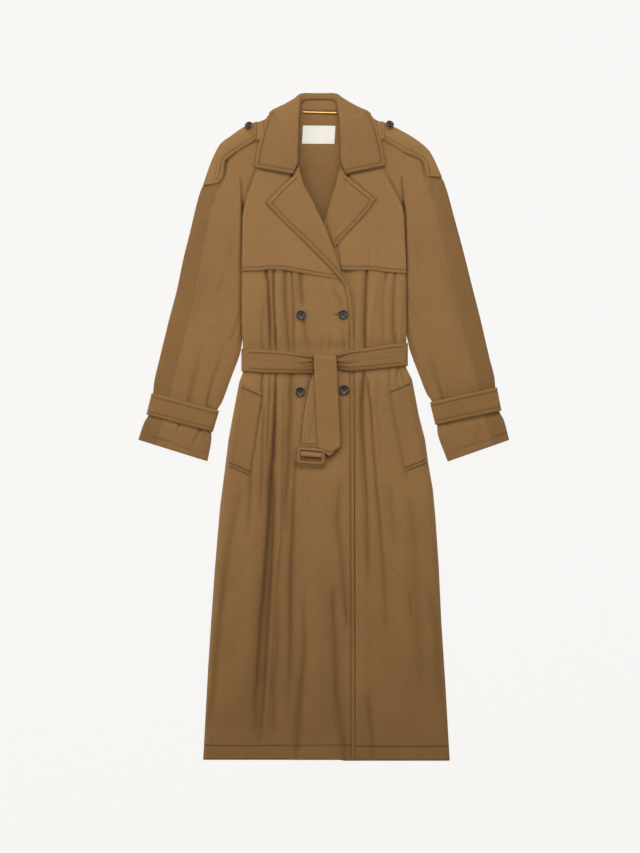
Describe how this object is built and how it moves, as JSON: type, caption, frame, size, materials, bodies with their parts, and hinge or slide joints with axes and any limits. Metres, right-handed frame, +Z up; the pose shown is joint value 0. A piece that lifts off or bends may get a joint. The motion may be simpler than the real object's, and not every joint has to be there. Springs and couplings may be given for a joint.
{
  "type": "trench coat laid flat",
  "caption": "Long double-breasted trench coat in brown twill laid flat, front up, with notched lapels, storm flaps, epaulettes, cuff straps, slanted pockets and a tied belt.",
  "frame": {"origin": "the middle of the coat's outline as seen from above, on the surface that it lies on", "axes": "+X to the right of the coat as seen from above, which is the wearer's left; +Y from the hem to the collar; +Z up, out of the coat's front"},
  "size_m": [0.697, 1.2514, 0.0211],
  "materials": {
    "cloth": "tobacco-brown gabardine twill, fine diagonal rib, soft satin sheen",
    "horn": "near-black horn-like buttons, polished rim, sewn with dark thread",
    "brass": "polished pale gold",
    "label": "off-white woven label, blank"
  },
  "bodies": {
    "root": {"back": "cloth", "front_right": "cloth", "front_left": "cloth", "storm_flap_right": "cloth", "storm_flap_left": "cloth", "lapel_right": "cloth", "lapel_left": "cloth", "collar": "cloth", "collar_stand": "cloth", "sleeve_front_right": "cloth", "sleeve_back_right": "cloth", "sleeve_front_left": "cloth", "sleeve_back_left": "cloth", "cuff_strap_right": "cloth", "cuff_strap_left": "cloth", "epaulette_right": "cloth", "epaulette_left": "cloth", "epaulette_loop_right": "cloth", "epaulette_loop_left": "cloth", "belt": "cloth", "belt_point_end": "cloth", "belt_buckle_end": "cloth", "pocket_right": "cloth", "pocket_left": "cloth", "button_upper_right": "horn", "button_upper_left": "horn", "button_lower_right": "horn", "button_lower_left": "horn", "button_epaulette_right": "horn", "button_epaulette_left": "horn", "buckle_frame": "cloth", "buckle_bar": "brass", "hanger_bar": "brass", "label": "label"}
  },
  "joints": []
}
